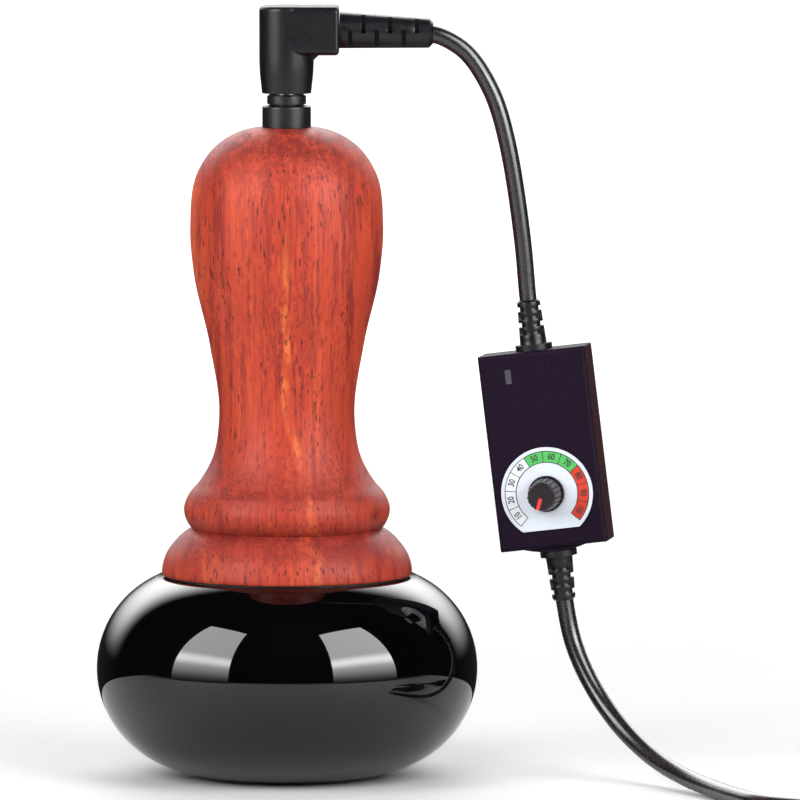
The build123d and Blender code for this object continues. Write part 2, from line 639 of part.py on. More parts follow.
def connector_body():
    """The in-line power inlet that the lead ends in."""
    low, high = CONNECTOR_RELIEF_LENGTH, CONNECTOR_RELIEF_LENGTH + CONNECTOR_LENGTH
    body = ring(CONNECTOR_R, 0, low, high)
    body = fillet(body.edges().filter_by(GeomType.CIRCLE), 0.9)
    for index in range(6):
        body -= ring(CONNECTOR_R + 1, CONNECTOR_R - 0.35, low + 3.0 + 1.6 * index, low + 3.8 + 1.6 * index)
    return CONNECTOR * (body - ring(3.6, 0, high - 14.0, high))


def connector_sleeve():
    high = CONNECTOR_RELIEF_LENGTH + CONNECTOR_LENGTH
    return CONNECTOR * ring(3.6, INLET_BORE_R, high - 12.0, high - 0.4)


def connector_insulator():
    high = CONNECTOR_RELIEF_LENGTH + CONNECTOR_LENGTH
    return CONNECTOR * ring(3.6, PLUG_PIN_R, high - 14.0, high - 12.0)


def connector_pin():
    high = CONNECTOR_RELIEF_LENGTH + CONNECTOR_LENGTH
    pin = ring(PLUG_PIN_R, 0, high - 14.0, high - 2.5)
    return CONNECTOR * fillet(pin.edges().filter_by(GeomType.CIRCLE).sort_by(Axis.Z)[-1], 0.5)


case_body, case_boss = rear_shell()
PARTS = {
    "stone_head": stone_head(),
    "heater_disc": heater_disc(),
    "heater_block": heater_block(),
    "temperature_sensor": temperature_sensor(),
    "thermal_cutoff": thermal_cutoff(),
    "insulation_pad": insulation_pad(),
    "handle_flange": handle_flange(),
    "flange_screws": flange_screws(),
    "base_gasket": base_gasket(),
    "handle": handle(),
    "socket_collar": socket_collar(),
    "socket_insulator": socket_insulator(),
    "socket_centre_pin": socket_centre_pin(),
    "socket_spring_contact": socket_spring_contact(),
    "red_wire": heater_wire(-1),
    "black_wire": heater_wire(1),
    "wire_sleeve": wire_sleeve(),
    "plug_neck": plug_neck(),
    "plug_barrel": plug_barrel(),
    "plug_insulator": plug_insulator(),
    "plug_centre_contact": plug_centre_contact(),
    "plug_body": plug_body(),
    "plug_strain_relief": plug_strain_relief(),
    "upper_cord": upper_cord(),
    "upper_gland": upper_gland(),
    "front_shell": front_shell(),
    "rear_shell": case_body,
    "gland_boss": case_boss,
    "dial_plate": dial_plate(),
    "indicator_lens": indicator_lens(),
    "indicator_led": indicator_led(),
    "circuit_board": circuit_board(),
    "potentiometer_body": potentiometer_body(),
    "potentiometer_track": potentiometer_track(),
    "potentiometer_shaft": potentiometer_shaft(),
    "potentiometer_wiper": potentiometer_wiper(),
    "knob": knob(),
    "knob_pointer": knob_pointer(),
    "power_transistor": power_transistor(),
    "heat_sink": heat_sink(),
    "smoothing_capacitor": smoothing_capacitor(),
    "shell_screws": shell_screws(),
    "lower_gland": lower_gland(),
    "lower_cord": lower_cord(),
    "cord_coil": cord_coil(),
    "coil_tie": coil_tie(),
    "tail_cord": tail_cord(),
    "connector_relief": connector_relief(),
    "connector_body": connector_body(),
    "connector_sleeve": connector_sleeve(),
    "connector_insulator": connector_insulator(),
    "connector_pin": connector_pin(),
}

os.makedirs("parts", exist_ok=True)
for name, shape in PARTS.items():
    export_step(shape, os.path.join("parts", name + ".step"))
print("nodes", len(PARTS))
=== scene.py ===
"""Looks of a hot stone massage head: polished stone, turned handle, plug-in lead and heat dial box.

Everything is in metres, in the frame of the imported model: +Z up the handle, -Y the side that the dial
faces, +X the side where the lead leaves.
"""

import json
import logging
import math
from dataclasses import dataclass, field
from enum import Enum

import bpy
from mathutils import Matrix, Vector
from mathutils.geometry import interpolate_bezier

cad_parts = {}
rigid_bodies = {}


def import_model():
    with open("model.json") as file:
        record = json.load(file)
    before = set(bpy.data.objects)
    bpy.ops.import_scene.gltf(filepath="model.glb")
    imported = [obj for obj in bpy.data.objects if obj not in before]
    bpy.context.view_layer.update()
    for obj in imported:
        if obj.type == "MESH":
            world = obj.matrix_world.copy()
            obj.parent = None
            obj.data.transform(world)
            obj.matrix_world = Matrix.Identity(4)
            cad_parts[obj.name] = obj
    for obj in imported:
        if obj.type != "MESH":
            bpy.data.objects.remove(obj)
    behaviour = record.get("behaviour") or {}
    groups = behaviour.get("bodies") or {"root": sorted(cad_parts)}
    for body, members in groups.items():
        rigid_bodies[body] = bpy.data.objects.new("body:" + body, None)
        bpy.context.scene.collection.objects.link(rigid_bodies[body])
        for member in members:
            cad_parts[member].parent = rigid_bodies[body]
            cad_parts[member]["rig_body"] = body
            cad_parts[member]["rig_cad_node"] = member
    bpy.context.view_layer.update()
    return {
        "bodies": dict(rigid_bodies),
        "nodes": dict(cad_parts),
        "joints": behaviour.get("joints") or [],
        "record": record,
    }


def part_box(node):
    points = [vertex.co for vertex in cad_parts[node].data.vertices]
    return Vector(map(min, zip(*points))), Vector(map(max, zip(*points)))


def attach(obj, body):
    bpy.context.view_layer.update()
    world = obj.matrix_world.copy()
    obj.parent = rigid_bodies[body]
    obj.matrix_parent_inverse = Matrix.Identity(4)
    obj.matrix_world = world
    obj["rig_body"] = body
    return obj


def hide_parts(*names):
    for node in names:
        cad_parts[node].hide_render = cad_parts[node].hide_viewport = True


LOG = logging.getLogger("hot_stone")
MM = 0.001
SPIN_WELD = 1e-6
NODE_WELD = 2e-6
FLAT_DEGREES = 0.4
Point = tuple[float, float, float]
Rgb = tuple[float, float, float]


# ---------------------------------------------------------------- modelling helpers
def pick(obj: bpy.types.Object) -> None:
    """Makes one object the only selected object and the active one.

    Args:
        obj: the object.
    """
    bpy.ops.object.select_all(action="DESELECT")
    obj.select_set(True)
    bpy.context.view_layer.objects.active = obj


def named(name: str) -> bpy.types.Object:
    """Names the active object and its data.

    Args:
        name: the new name of both.

    Returns:
        The active object.
    """
    obj = bpy.context.object
    obj.name = name
    obj.data.name = name
    return obj


def settle(obj: bpy.types.Object, place: Matrix | None = None) -> bpy.types.Object:
    """Puts the object's own transform, and then place, into its mesh.

    Args:
        obj: a mesh object with no parent.
        place: where its finished mesh goes in the model's frame, or None.

    Returns:
        The same object, at the origin.
    """
    obj.data.transform(obj.matrix_basis)
    obj.matrix_basis = Matrix.Identity(4)
    if place is not None:
        obj.data.transform(place)
    obj.data.update()
    return obj


def finish_with(obj: bpy.types.Object, kind: str, **settings: object) -> None:
    """Adds one modifier with these settings and applies it.

    Args:
        obj: the mesh object.
        kind: the modifier's type.
        settings: the modifier's properties and their values.
    """
    modifier = obj.modifiers.new(kind.lower(), kind)
    for key, value in settings.items():
        setattr(modifier, key, value)
    pick(obj)
    bpy.ops.object.modifier_apply(modifier=modifier.name)


def smooth(obj: bpy.types.Object, degrees: float = 35.0) -> None:
    """Shades obj smooth, with edges sharper than degrees kept crisp."""
    pick(obj)
    bpy.ops.object.shade_smooth_by_angle(angle=math.radians(degrees))


def drawn_outline(name: str, outline: list[tuple[float, float]]) -> bpy.types.Object:
    """Draws an outline of (radius, height) points in the XZ plane by extruding one vertex.

    Args:
        name: the new object's name.
        outline: the points, in metres.

    Returns:
        The object, in edit mode, with the whole outline selected.
    """
    bpy.ops.object.select_all(action="DESELECT")
    first = Vector((outline[0][0], 0.0, outline[0][1]))
    bpy.ops.mesh.primitive_plane_add(size=MM, location=(0, 0, 0))
    obj = named(name)
    bpy.ops.object.mode_set(mode="EDIT")
    bpy.ops.mesh.select_all(action="SELECT")
    bpy.ops.mesh.merge(type="CENTER")
    bpy.ops.transform.translate(value=first)
    here = first
    for radius, height in outline[1:]:
        there = Vector((radius, 0.0, height))
        bpy.ops.mesh.extrude_region_move(TRANSFORM_OT_translate={"value": there - here})
        here = there
    bpy.ops.mesh.select_all(action="SELECT")
    return obj


def turned(name: str, outline: list[tuple[float, float]], steps: int = 128,
           degrees: float = 35.0) -> bpy.types.Object:
    """Spins an outline round Z into a closed, smooth solid.

    Args:
        name: the new object's name.
        outline: (radius, height) points in metres; it may begin and end on the axis, or on itself.
        steps: the faces round the axis.
        degrees: edges sharper than this stay crisp.

    Returns:
        The finished object.
    """
    obj = drawn_outline(name, outline)
    bpy.ops.mesh.spin(steps=steps, angle=2 * math.pi, center=(0, 0, 0), axis=(0, 0, 1))
    bpy.ops.mesh.select_all(action="SELECT")
    bpy.ops.mesh.remove_doubles(threshold=SPIN_WELD)
    bpy.ops.mesh.normals_make_consistent(inside=False)
    bpy.ops.object.mode_set(mode="OBJECT")
    settle(obj)
    smooth(obj, degrees)
    return obj


def arc(centre: tuple[float, float], radius: float, start: float, end: float,
        count: int) -> list[tuple[float, float]]:
    """Points along a circular arc, both ends included.

    Args:
        centre: the arc's centre.
        radius: its radius.
        start: the angle of its first point, in degrees.
        end: the angle of its last point, in degrees.
        count: the steps along it.

    Returns:
        The arc's points.
    """
    step = (end - start) / count
    angles = [math.radians(start + step * index) for index in range(count + 1)]
    return [(centre[0] + radius * math.cos(a), centre[1] + radius * math.sin(a)) for a in angles]


def flowing(points: list[tuple[float, float]], first: tuple[float, float], last: tuple[float, float],
            per_span: int = 8) -> list[tuple[float, float]]:
    """A smooth line through the points, with the given directions at its two ends.

    Args:
        points: (radius, height) points.
        first: the direction in which it leaves the first point.
        last: the direction in which it reaches the last point.
        per_span: the steps between two points.

    Returns:
        The line's points, both ends included.
    """
    spots = [Vector((r, z, 0.0)) for r, z in points]
    slopes = [Vector((*first, 0.0)).normalized()]
    for before, here, after in zip(spots, spots[1:], spots[2:]):
        near, far = (here - before).length, (after - here).length
        slopes.append(((here - before) * (far / near) + (after - here) * (near / far)).normalized())
    slopes.append(Vector((*last, 0.0)).normalized())
    line: list[tuple[float, float]] = []
    for index, (here, after) in enumerate(zip(spots, spots[1:])):
        reach = (after - here).length / 3
        bend = interpolate_bezier(here, here + slopes[index] * reach,
                                  after - slopes[index + 1] * reach, after, per_span + 1)
        line += [(p.x, p.y) for p in bend[1 if line else 0:]]
    return line


def scaled(points: list[tuple[float, float]]) -> list[tuple[float, float]]:
    """An outline in millimetres, turned into metres."""
    return [(r * MM, z * MM) for r, z in points]


def merged_copy(node: str, name: str, degrees: float = 30.0, bevel: float = 0.0,
                segments: int = 2) -> bpy.types.Object:
    """A welded, smoothly shaded copy of a CAD node, which it replaces.

    Args:
        node: the CAD node.
        name: the copy's name.
        degrees: edges sharper than this stay crisp, or are rounded.
        bevel: the radius given to sharp edges, in metres, or 0.
        segments: the faces across each rounded edge.

    Returns:
        The copy, at the origin, riding on nothing yet.
    """
    source = bpy.data.objects[node]
    pick(source)
    copy = source.copy()
    copy.data = source.data.copy()
    copy.parent = None
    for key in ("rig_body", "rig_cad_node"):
        if key in copy:
            del copy[key]
    bpy.context.scene.collection.objects.link(copy)
    copy.name = name
    copy.data.name = name
    pick(copy)
    bpy.ops.object.mode_set(mode="EDIT")
    bpy.ops.mesh.select_all(action="SELECT")
    bpy.ops.mesh.remove_doubles(threshold=NODE_WELD)
    bpy.ops.mesh.dissolve_limited(angle_limit=math.radians(FLAT_DEGREES))
    bpy.ops.object.mode_set(mode="OBJECT")
    if bevel:
        finish_with(copy, "BEVEL", width=bevel, segments=segments, limit_method="ANGLE",
                    angle_limit=math.radians(degrees), harden_normals=False, use_clamp_overlap=True)
    smooth(copy, degrees)
    finish_with(copy, "WEIGHTED_NORMAL", weight=80, keep_sharp=True)
    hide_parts(node)
    return copy


# ---------------------------------------------------------------- finishes
class Graph:
    """A small builder for one node material."""

    def __init__(self, name: str) -> None:
        """Starts a material with a Principled shader.

        Args:
            name: the material's name.
        """
        self.material = bpy.data.materials.new(name)
        self.material.use_nodes = True
        self.tree = self.material.node_tree
        self.shader = self.tree.nodes["Principled BSDF"]

    def add(self, kind: str, **settings: object) -> bpy.types.Node:
        """Adds a node and sets its properties.

        Args:
            kind: the node's type.
            settings: its properties and their values.

        Returns:
            The node.
        """
        node = self.tree.nodes.new(kind)
        for key, value in settings.items():
            setattr(node, key, value)
        return node

    def join(self, source: bpy.types.NodeSocket, target: bpy.types.NodeSocket) -> None:
        """Links two sockets."""
        self.tree.links.new(source, target)

    def spots(self, stretch: Point = (1.0, 1.0, 1.0),
              shift: Point = (0.0, 0.0, 0.0)) -> bpy.types.NodeSocket:
        """Object coordinates, scaled and moved.

        Args:
            stretch: the scale along each axis.
            shift: what is added after it.

        Returns:
            The coordinates.
        """
        source = self.add("ShaderNodeTexCoord")
        mapping = self.add("ShaderNodeMapping")
        mapping.inputs["Scale"].default_value = stretch
        mapping.inputs["Location"].default_value = shift
        self.join(source.outputs["Object"], mapping.inputs["Vector"])
        return mapping.outputs["Vector"]

    def parts(self, kind: str) -> bpy.types.Node:
        """Splits one kind of texture coordinate into X, Y and Z.

        Args:
            kind: Object or Normal.

        Returns:
            The node whose outputs are X, Y and Z.
        """
        source = self.add("ShaderNodeTexCoord")
        split = self.add("ShaderNodeSeparateXYZ")
        self.join(source.outputs[kind], split.inputs["Vector"])
        return split

    def noise(self, where: bpy.types.NodeSocket, scale: float, detail: float = 3.0,
              rough: float = 0.5, swirl: float = 0.0) -> bpy.types.NodeSocket:
        """Cloudy noise between 0 and 1.

        Args:
            where: the coordinates that it reads.
            scale: how fine it is.
            detail: how many finer layers it has.
            rough: how strong they are.
            swirl: how far it is distorted.

        Returns:
            The noise.
        """
        node = self.add("ShaderNodeTexNoise")
        node.inputs["Scale"].default_value = scale
        node.inputs["Detail"].default_value = detail
        node.inputs["Roughness"].default_value = rough
        node.inputs["Distortion"].default_value = swirl
        self.join(where, node.inputs["Vector"])
        return node.outputs["Fac"]

    def ramp(self, value: bpy.types.NodeSocket,
             stops: list[tuple[float, Rgb]]) -> bpy.types.NodeSocket:
        """Colours a value by a ramp.

        Args:
            value: what is coloured.
            stops: the ramp's (place, colour) pairs, in order.

        Returns:
            The colour.
        """
        node = self.add("ShaderNodeValToRGB")
        ramp = node.color_ramp
        while len(ramp.elements) < len(stops):
            ramp.elements.new(0.5)
        for element, (place, colour) in zip(ramp.elements, stops):
            element.position = place
            element.color = (*colour, 1.0)
        self.join(value, node.inputs["Fac"])
        return node.outputs["Color"]

    def fit(self, value: bpy.types.NodeSocket, low: float, high: float, to_low: float = 0.0,
            to_high: float = 1.0) -> bpy.types.NodeSocket:
        """Maps a value's range onto another, with soft ends.

        Args:
            value: the value.
            low: where its range begins.
            high: where its range ends.
            to_low: what low becomes.
            to_high: what high becomes.

        Returns:
            The mapped value.
        """
        node = self.add("ShaderNodeMapRange", interpolation_type="SMOOTHSTEP")
        for name, number in (("From Min", low), ("From Max", high),
                             ("To Min", to_low), ("To Max", to_high)):
            node.inputs[name].default_value = number
        self.join(value, node.inputs["Value"])
        return node.outputs["Result"]

    def sum(self, kind: str, first: bpy.types.NodeSocket,
            second: bpy.types.NodeSocket | float) -> bpy.types.NodeSocket:
        """One arithmetic step.

        Args:
            kind: the operation, such as MULTIPLY or ADD.
            first: its first value.
            second: its second value.

        Returns:
            The result.
        """
        node = self.add("ShaderNodeMath", operation=kind)
        self.join(first, node.inputs[0])
        if isinstance(second, (int, float)):
            node.inputs[1].default_value = second
        else:
            self.join(second, node.inputs[1])
        return node.outputs["Value"]

    def mix(self, amount: bpy.types.NodeSocket, first: bpy.types.NodeSocket | Rgb,
            second: bpy.types.NodeSocket | Rgb) -> bpy.types.NodeSocket:
        """Mixes two colours.

        Args:
            amount: how much of the second shows.
            first: the first colour.
            second: the second colour.

        Returns:
            The mixed colour.
        """
        node = self.add("ShaderNodeMix", data_type="RGBA")
        self.join(amount, node.inputs["Factor"])
        for value, socket in ((first, node.inputs["A"]), (second, node.inputs["B"])):
            if isinstance(value, tuple):
                socket.default_value = (*value, 1.0)
            else:
                self.join(value, socket)
        return node.outputs["Result"]

    def bump(self, height: bpy.types.NodeSocket, depth: float, strength: float = 1.0) -> None:
        """Raises the surface by a height pattern.

        Args:
            height: the pattern.
            depth: how high it stands, in metres.
            strength: the share of it that shows.
        """
        node = self.add("ShaderNodeBump")
        node.inputs["Strength"].default_value = strength
        node.inputs["Distance"].default_value = depth
        self.join(height, node.inputs["Height"])
        self.join(node.outputs["Normal"], self.shader.inputs["Normal"])

    def constant(self, **values: float) -> None:
        """Sets numbers straight on the shader, by socket name with _ for a space."""
        for key, value in values.items():
            self.shader.inputs[key.replace("_", " ")].default_value = value


@dataclass(frozen=True)
class Moulded:
    """Moulded plastic, rubber or film: one colour that varies a little, with a fine grain."""

    name: str
    colour: Rgb
    roughness: float = 0.45
    vary: float = 0.12
    grain: float = 900.0
    depth: float = 0.00002
    metallic: float = 0.0
    specular: float = 0.5

    def material(self) -> bpy.types.Material:
        """Builds the node material.

        Returns:
            The material.
        """
        graph = Graph(self.name)
        broad = graph.noise(graph.spots(), 60.0, 4.0, 0.6)
        fine = graph.noise(graph.spots(), self.grain, 2.0, 0.5)
        low = tuple(c * (1 - self.vary) for c in self.colour)
        high = tuple(min(1.0, c * (1 + self.vary)) for c in self.colour)
        graph.join(graph.ramp(broad, [(0.3, low), (0.7, high)]), graph.shader.inputs["Base Color"])
        rough = graph.fit(fine, 0.3, 0.7, self.roughness * 0.85, min(1.0, self.roughness * 1.15))
        graph.join(rough, graph.shader.inputs["Roughness"])
        graph.constant(Metallic=self.metallic, Specular_IOR_Level=self.specular)
        graph.bump(fine, self.depth)
        return graph.material


@dataclass(frozen=True)
class CasePlastic:
    """Plum-black moulded plastic with a fine sparkle grain, and a red-brown painted reflection on the side
    that faces right.
    """

    name: str = "plum_black_case"
    face: Rgb = (0.0046, 0.0016, 0.0064)
    # side: a painted red-brown reflection, worn by the faces that point right
    side: Rgb = (0.0140, 0.0018, 0.0030)
    roughness: float = 0.52
    specular: float = 0.07
    grain: float = 2300.0
    depth: float = 0.00006

    def material(self) -> bpy.types.Material:
        """Builds the node material.

        Returns:
            The material.
        """
        graph = Graph(self.name)
        split = graph.parts("Normal")
        # painted reflection: faces that point right are turned red-brown
        painted_reflection_share = graph.fit(split.outputs["X"], 0.75, 0.95, 0.0, 1.0)
        fine = graph.noise(graph.spots(), self.grain, 2.0, 0.5)
        plum = graph.ramp(fine, [(0.3, tuple(0.7 * c for c in self.face)),
                                 (0.7, tuple(1.5 * c for c in self.face))])
        graph.join(graph.mix(painted_reflection_share, plum, self.side), graph.shader.inputs["Base Color"])
        graph.join(graph.fit(fine, 0.3, 0.7, self.roughness * 0.85, self.roughness * 1.15),
                   graph.shader.inputs["Roughness"])
        graph.constant(Specular_IOR_Level=self.specular)
        graph.bump(fine, self.depth)
        return graph.material


@dataclass(frozen=True)
class PolishedStone:
    """Black stone, polished until it mirrors the room."""

    name: str = "polished_black_stone"
    colour: Rgb = (0.0004, 0.0004, 0.0005)
    fleck: Rgb = (0.0040, 0.0040, 0.0044)
    roughness: float = 0.026
    index: float = 1.50

    def material(self) -> bpy.types.Material:
        """Builds the node material.

        Returns:
            The material.
        """
        graph = Graph(self.name)
        cloud = graph.noise(graph.spots(), 45.0, 6.0, 0.65)
        flecks = graph.noise(graph.spots(), 1500.0, 2.0, 0.5)
        body = graph.ramp(cloud, [(0.35, self.colour), (0.75, tuple(2.2 * c for c in self.colour))])
        share = graph.fit(flecks, 0.72, 0.8, 0.0, 0.25)
        graph.join(graph.mix(share, body, self.fleck), graph.shader.inputs["Base Color"])
        rough = graph.fit(cloud, 0.3, 0.75, self.roughness * 0.8, self.roughness * 1.5)
        graph.join(rough, graph.shader.inputs["Roughness"])
        graph.constant(IOR=self.index)
        return graph.material


@dataclass(frozen=True)
class TurnedWood:
    """Red-brown hardwood with streaks along the handle, one bright streak and short dark pores, and painted
    shade that darkens it towards the foot.
    """

    name: str = "turned_red_wood"
    dark: Rgb = (0.120, 0.010, 0.008)
    middle: Rgb = (0.285, 0.030, 0.012)
    light: Rgb = (0.400, 0.062, 0.020)
    streak: Rgb = (0.520, 0.130, 0.030)
    pore: Rgb = (0.050, 0.006, 0.006)
    end_grain: Rgb = (0.110, 0.011, 0.008)
    roughness: float = 0.5
    specular: float = 0.2
    # painted shade: from the first height down to the second the wood takes on up to this share of the dark
    # colour
    dim_foot: tuple[float, float] = (0.100, 0.066)
    dim_share: float = 0.36

    def material(self) -> bpy.types.Material:
        """Builds the node material.

        Returns:
            The material.
        """
        graph = Graph(self.name)
        bands = graph.noise(graph.spots((1.0, 0.16, 0.04)), 250.0, 5.0, 0.66, 0.1)
        colour = graph.ramp(bands, [(0.34, self.dark), (0.44, self.middle), (0.55, self.middle),
                                    (0.66, self.light)])
        clouds = graph.noise(graph.spots((1.0, 0.3, 0.12), (3.0, 1.0, 0.0)), 90.0, 4.0, 0.6)
        colour = graph.mix(graph.fit(clouds, 0.47, 0.68, 0.0, 0.42), colour, self.dark)
        veins = graph.noise(graph.spots((1.0, 0.14, 0.035), (0.0, 2.0, 1.0)), 700.0, 4.0, 0.7)
        colour = graph.mix(graph.fit(veins, 0.52, 0.64, 0.0, 0.7), colour, self.dark)
        fibres = graph.noise(graph.spots((1.0, 1.0, 0.03)), 1700.0, 3.0, 0.6)
        colour = graph.mix(graph.fit(fibres, 0.5, 0.68, 0.0, 0.35), colour, self.light)
        colour = graph.mix(graph.fit(fibres, 0.48, 0.3, 0.0, 0.5), colour, self.dark)
        colour = graph.mix(self.bright_streak(graph), colour, self.streak)
        colour = graph.mix(self.end_share(graph), colour, self.end_grain)
        split = graph.parts("Object")
        # painted shade: the handle turns darker towards its foot
        painted_shade_mask = graph.fit(split.outputs["Z"], *self.dim_foot, 0.0, self.dim_share)
        colour = graph.mix(painted_shade_mask, colour, self.dark)
        pores = self.pores(graph)
        colour = graph.mix(graph.sum("MULTIPLY", pores, 0.85), colour, self.pore)
        graph.join(colour, graph.shader.inputs["Base Color"])
        graph.join(graph.fit(bands, 0.3, 0.7, self.roughness * 0.85, self.roughness * 1.15),
                   graph.shader.inputs["Roughness"])
        graph.constant(Specular_IOR_Level=self.specular)
        relief = graph.sum("SUBTRACT", graph.sum("MULTIPLY", fibres, 0.3), pores)
        graph.bump(relief, 0.00007, 0.7)
        return graph.material

    def bright_streak(self, graph: Graph) -> bpy.types.NodeSocket:
        """One orange streak: a faint, ragged line down the lower front.

        Args:
            graph: the material's nodes.

        Returns:
            How much of the streak shows.
        """
        split = graph.parts("Object")
        waver = graph.noise(graph.spots((0.0, 0.0, 1.0), (0.3, 0.2, 0.1)), 26.0, 2.0, 0.5)
        drift = graph.fit(split.outputs["Z"], 0.095, 0.055, 0.0, 0.007)
        shift = graph.sum("ADD", graph.fit(waver, 0.3, 0.7, -0.0010, 0.0012), drift)
        off = graph.sum("ABSOLUTE", graph.sum("SUBTRACT", split.outputs["X"], shift), 0.0)
        near = graph.fit(off, 0.0002, 0.0015, 1.0, 0.0)
        front = graph.sum("LESS_THAN", split.outputs["Y"], 0.0)
        below = graph.fit(split.outputs["Z"], 0.105, 0.140, 1.0, 0.15)
        breaks = graph.noise(graph.spots((1.0, 1.0, 0.15)), 600.0, 4.0, 0.65)
        ragged = graph.fit(breaks, 0.38, 0.62, 0.05, 0.62)
        share = graph.sum("MULTIPLY", graph.sum("MULTIPLY", near, front), ragged)
        return graph.sum("MULTIPLY", share, below)

    def end_share(self, graph: Graph) -> bpy.types.NodeSocket:
        """End grain: curved maroon streaks where the surface is cut across the grain.

        Args:
            graph: the material's nodes.

        Returns:
            How much of the end grain's colour shows.
        """
        split = graph.parts("Normal")
        rise = graph.sum("ABSOLUTE", split.outputs["Z"], 0.0)
        streaks = graph.noise(graph.spots((1.0, 0.35, 1.0), (0.0, 5.0, 0.0)), 330.0, 4.0, 0.6, 1.2)
        share = graph.fit(rise, 0.15, 0.85, 0.0, 1.0)
        return graph.sum("MULTIPLY", share, graph.fit(streaks, 0.36, 0.62, 0.25, 1.0))

    def pores(self, graph: Graph) -> bpy.types.NodeSocket:
        """Dark ragged pores of two sizes, long along the grain and gathered in patches.

        Args:
            graph: the material's nodes.

        Returns:
            How deep in a pore each spot is, from 0 to 1.
        """
        frayed = graph.noise(graph.spots((1.0, 1.0, 0.4)), 2600.0, 2.0, 0.6)
        ragged = graph.fit(frayed, 0.3, 0.7, -0.09, 0.09)
        large = self.slits(graph, (900.0, 900.0, 190.0), ragged)
        small = self.slits(graph, (1300.0, 1300.0, 420.0), ragged)
        both = graph.sum("MAXIMUM", large, graph.sum("MULTIPLY", small, 0.7))
        crowds = graph.noise(graph.spots((1.0, 1.0, 0.35)), 90.0, 3.0, 0.6)
        patches = graph.fit(crowds, 0.36, 0.52, 0.25, 1.0)
        return graph.sum("MULTIPLY", both, patches)

    def slits(self, graph: Graph, crowding: Point,
              ragged: bpy.types.NodeSocket) -> bpy.types.NodeSocket:
        """One size of pore, one at most in each cell of a scattered grid.

        Args:
            graph: the material's nodes.
            crowding: how many cells fit in a metre along each axis.
            ragged: what makes the pores' outlines uneven.

        Returns:
            One inside a pore and nothing outside it.
        """
        cells = graph.add("ShaderNodeTexVoronoi")
        cells.inputs["Scale"].default_value = 1.0
        cells.inputs["Randomness"].default_value = 1.0
        graph.join(graph.spots(crowding), cells.inputs["Vector"])
        far = graph.sum("ADD", cells.outputs["Distance"], ragged)
        slit = graph.fit(far, 0.16, 0.28, 1.0, 0.0)
        return graph.sum("MULTIPLY", slit, graph.fit(cells.outputs["Color"], 0.22, 0.30, 0.0, 1.0))


@dataclass(frozen=True)
class Woven:
    """Felt, braid or strap: a fine crossed weave with a soft sheen."""

    name: str
    colour: Rgb
    pitch: float = 1600.0

    def material(self) -> bpy.types.Material:
        """Builds the node material.

        Returns:
            The material.
        """
        graph = Graph(self.name)
        fuzz = graph.noise(graph.spots(), self.pitch, 4.0, 0.7)
        dark = tuple(c * 0.6 for c in self.colour)
        graph.join(graph.ramp(fuzz, [(0.3, dark), (0.7, self.colour)]), graph.shader.inputs["Base Color"])
        graph.join(graph.fit(fuzz, 0.3, 0.7, 0.75, 0.95), graph.shader.inputs["Roughness"])
        graph.constant(Sheen_Weight=0.3, Specular_IOR_Level=0.2)
        graph.bump(fuzz, 0.00008)
        return graph.material


class Finish(Enum):
    """Every finish of the object, by the record's slot that it belongs to."""

    BLACK_STONE = PolishedStone()
    HANDLE_WOOD = TurnedWood()
    HEATER_FILM = Moulded("amber_heater_film", (0.30, 0.13, 0.02), 0.3)
    ALUMINIUM = Moulded("machined_aluminium", (0.75, 0.76, 0.78), 0.35, 0.05, metallic=1.0)
    SENSOR_GLASS = Moulded("amber_bead", (0.55, 0.30, 0.10), 0.1)
    STEEL = Moulded("plated_steel", (0.58, 0.58, 0.60), 0.32, 0.08, metallic=1.0)
    FELT = Woven("ceramic_felt", (0.62, 0.60, 0.54), 900.0)
    GASKET_RUBBER = Moulded("gasket_rubber", (0.010, 0.010, 0.010), 0.6)
    SOCKET_BLACK = Moulded("socket_black", (0.0036, 0.0036, 0.0048), 0.34, 0.15, 700.0, 0.000012,
                           specular=0.42)
    INSULATOR = Moulded("natural_insulator", (0.70, 0.70, 0.66), 0.4)
    CONTACT_METAL = Moulded("plated_contact", (0.72, 0.72, 0.73), 0.2, 0.05, metallic=1.0)
    WIRE_RED = Moulded("red_wire_jacket", (0.40, 0.02, 0.02), 0.4)
    WIRE_BLACK = Moulded("black_wire_jacket", (0.02, 0.02, 0.02), 0.4)
    GLASS_FIBRE = Woven("glass_fibre_braid", (0.75, 0.73, 0.68), 2600.0)
    PLUG_MOULDING = Moulded("soft_black_moulding", (0.0026, 0.0026, 0.0038), 0.34, 0.15, 1100.0,
                            0.000012, specular=0.32)
    CORD_JACKET = Moulded("cord_jacket", (0.0055, 0.0055, 0.0068), 0.25, 0.12, 1300.0, 0.000003,
                          specular=0.75)
    CASE_PLASTIC = CasePlastic()
    SCALE_FILM = Moulded("dial_film", (0.375, 0.40, 0.445), 0.35, 0.006, 600.0, 0.000002)
    LENS = Moulded("smoked_lens", (0.034, 0.029, 0.042), 0.2)
    LED_WHITE = Moulded("led_body", (0.75, 0.75, 0.66), 0.3)
    BOARD_GREEN = Moulded("solder_mask", (0.012, 0.11, 0.045), 0.3)
    COMPONENT_BLACK = Moulded("component_black", (0.018, 0.018, 0.018), 0.5)
    SHAFT_METAL = Moulded("turned_shaft", (0.66, 0.66, 0.66), 0.28, 0.05, metallic=1.0)
    KNOB_PLASTIC = Moulded("plum_black_knob", (0.0050, 0.0022, 0.0044), 0.30, 0.12, 1400.0, 0.00001,
                           specular=0.4)
    POINTER_RED = Moulded("pointer_red", (0.42, 0.018, 0.012), 0.35)
    TIE_STRAP = Woven("strap_weave", (0.018, 0.018, 0.020))

    @property
    def slot(self) -> str:
        """The record's slot name."""
        return self.name.lower()


